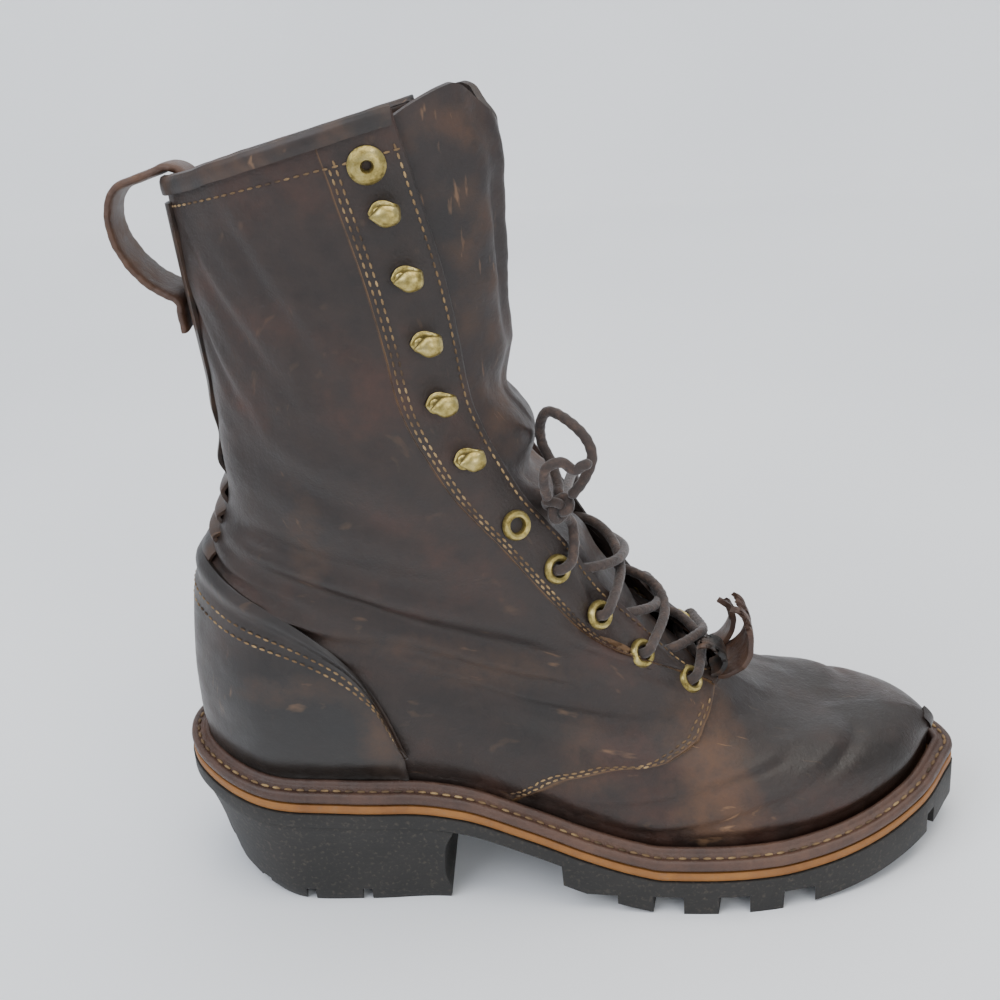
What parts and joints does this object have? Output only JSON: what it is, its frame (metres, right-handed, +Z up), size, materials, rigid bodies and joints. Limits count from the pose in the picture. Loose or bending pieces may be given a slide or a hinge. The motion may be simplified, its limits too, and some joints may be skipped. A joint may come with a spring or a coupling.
{
  "type": "logger boot",
  "caption": "Worn lace-up logger boot for the right foot, with a high lugged heel, storm welt, hollow leather upper, tongue, kiltie stub and pull loop.",
  "frame": {"origin": "on the ground under the middle of the heel block, on the heel's centre line, where heel_rest is", "axes": "+X towards the toe, +Y towards the inner side of a right foot, +Z up"},
  "size_m": [0.2874, 0.1034, 0.296],
  "materials": {
    "rubber": "matt, worn and dusty",
    "midsole": "matt tan edge",
    "welt": "worn, stitched",
    "insole": "matt",
    "leather": "oiled, scuffed and creased",
    "counter": "dark and half polished",
    "tongue": "soft and wrinkled",
    "strap": "woven tape, frayed",
    "brass": "tarnished",
    "lace": "braided cord"
  },
  "bodies": {
    "root": {"outsole": "rubber", "heel": "rubber", "midsole": "midsole", "welt": "welt", "insole": "insole", "upper": "leather", "heel_counter": "counter", "back_stay": "counter", "tongue": "tongue", "kiltie": "counter", "pull_loop": "strap", "eyelet_outer_1": "brass", "eyelet_outer_2": "brass", "eyelet_outer_3": "brass", "eyelet_outer_4": "brass", "eyelet_outer_5": "brass", "eyelet_outer_top": "brass", "eyelet_inner_1": "brass", "eyelet_inner_2": "brass", "eyelet_inner_3": "brass", "eyelet_inner_4": "brass", "eyelet_inner_5": "brass", "eyelet_inner_top": "brass", "hook_outer_1": "brass", "hook_outer_2": "brass", "hook_outer_3": "brass", "hook_outer_4": "brass", "hook_outer_5": "brass", "hook_inner_1": "brass", "hook_inner_2": "brass", "hook_inner_3": "brass", "hook_inner_4": "brass", "hook_inner_5": "brass", "laces": "lace", "lace_knot": "lace", "lace_loop": "lace", "lace_end": "lace"}
  },
  "joints": []
}
